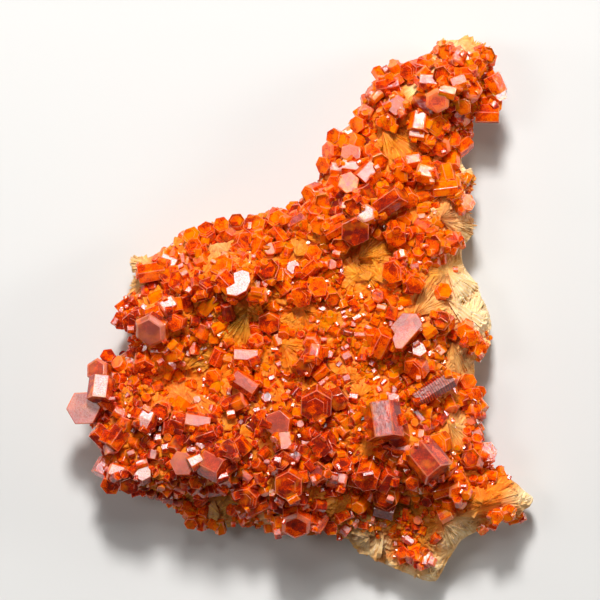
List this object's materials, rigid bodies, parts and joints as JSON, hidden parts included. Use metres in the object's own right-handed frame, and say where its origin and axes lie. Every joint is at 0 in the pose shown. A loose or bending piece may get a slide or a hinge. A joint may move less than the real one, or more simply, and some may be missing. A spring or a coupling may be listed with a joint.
{
  "type": "vanadinite on barite specimen",
  "caption": "Mineral specimen: a broken plate of bladed barite, its face crusted with six-sided vanadinite crystals, lying on the flat of its back.",
  "frame": {"origin": "on the resting flat of the broken back, below the middle of the crystal face", "axes": "+Z out of the crystal face, square to the resting flat; +Y along the specimen towards its pointed spire; +X to the right when the crystal face is seen with the spire up"},
  "size_m": [0.075, 0.0874, 0.0226],
  "materials": {
    "barite": "matte",
    "vanadinite": "gloss"
  },
  "bodies": {
    "root": {"barite_matrix": "barite", "vanadinite_spire_tip": "vanadinite", "vanadinite_spire_head": "vanadinite", "vanadinite_spire_head_east": "vanadinite", "vanadinite_spire_notch": "vanadinite", "vanadinite_spire_blade_rim": "vanadinite", "vanadinite_spire_hexagon": "vanadinite", "vanadinite_spire_west": "vanadinite", "vanadinite_spire_middle": "vanadinite", "vanadinite_spire_low": "vanadinite", "vanadinite_spire_mite": "vanadinite", "vanadinite_saddle_point": "vanadinite", "vanadinite_saddle_prism": "vanadinite", "vanadinite_saddle_brow": "vanadinite", "vanadinite_north_ridge_east": "vanadinite", "vanadinite_north_ridge_middle": "vanadinite", "vanadinite_north_ridge_west": "vanadinite", "vanadinite_crown": "vanadinite", "vanadinite_centre_north": "vanadinite", "vanadinite_valley_prism": "vanadinite", "vanadinite_east_knoll": "vanadinite", "vanadinite_valley_hexagon": "vanadinite", "vanadinite_east_pair": "vanadinite", "vanadinite_east_studs": "vanadinite", "vanadinite_east_plate": "vanadinite", "vanadinite_east_rim_low": "vanadinite", "vanadinite_striped_prism": "vanadinite", "vanadinite_east_beads": "vanadinite", "vanadinite_north_west_corner": "vanadinite", "vanadinite_west_shoulder": "vanadinite", "vanadinite_west_eaves": "vanadinite", "vanadinite_west_point": "vanadinite", "vanadinite_west_under": "vanadinite", "vanadinite_west_square": "vanadinite", "vanadinite_low_west_knot": "vanadinite", "vanadinite_ledge": "vanadinite", "vanadinite_middle_prisms": "vanadinite", "vanadinite_heart_west": "vanadinite", "vanadinite_centre_dark": "vanadinite", "vanadinite_heart_hexagon": "vanadinite", "vanadinite_heart_west_prisms": "vanadinite", "vanadinite_heart_notched": "vanadinite", "vanadinite_keel_west": "vanadinite", "vanadinite_keel": "vanadinite", "vanadinite_keel_east": "vanadinite", "vanadinite_prow": "vanadinite", "vanadinite_prow_low": "vanadinite", "vanadinite_knob": "vanadinite", "vanadinite_arm_root": "vanadinite", "vanadinite_east_corner": "vanadinite", "vanadinite_arm_south": "vanadinite", "vanadinite_foot_studs": "vanadinite"}
  },
  "joints": []
}
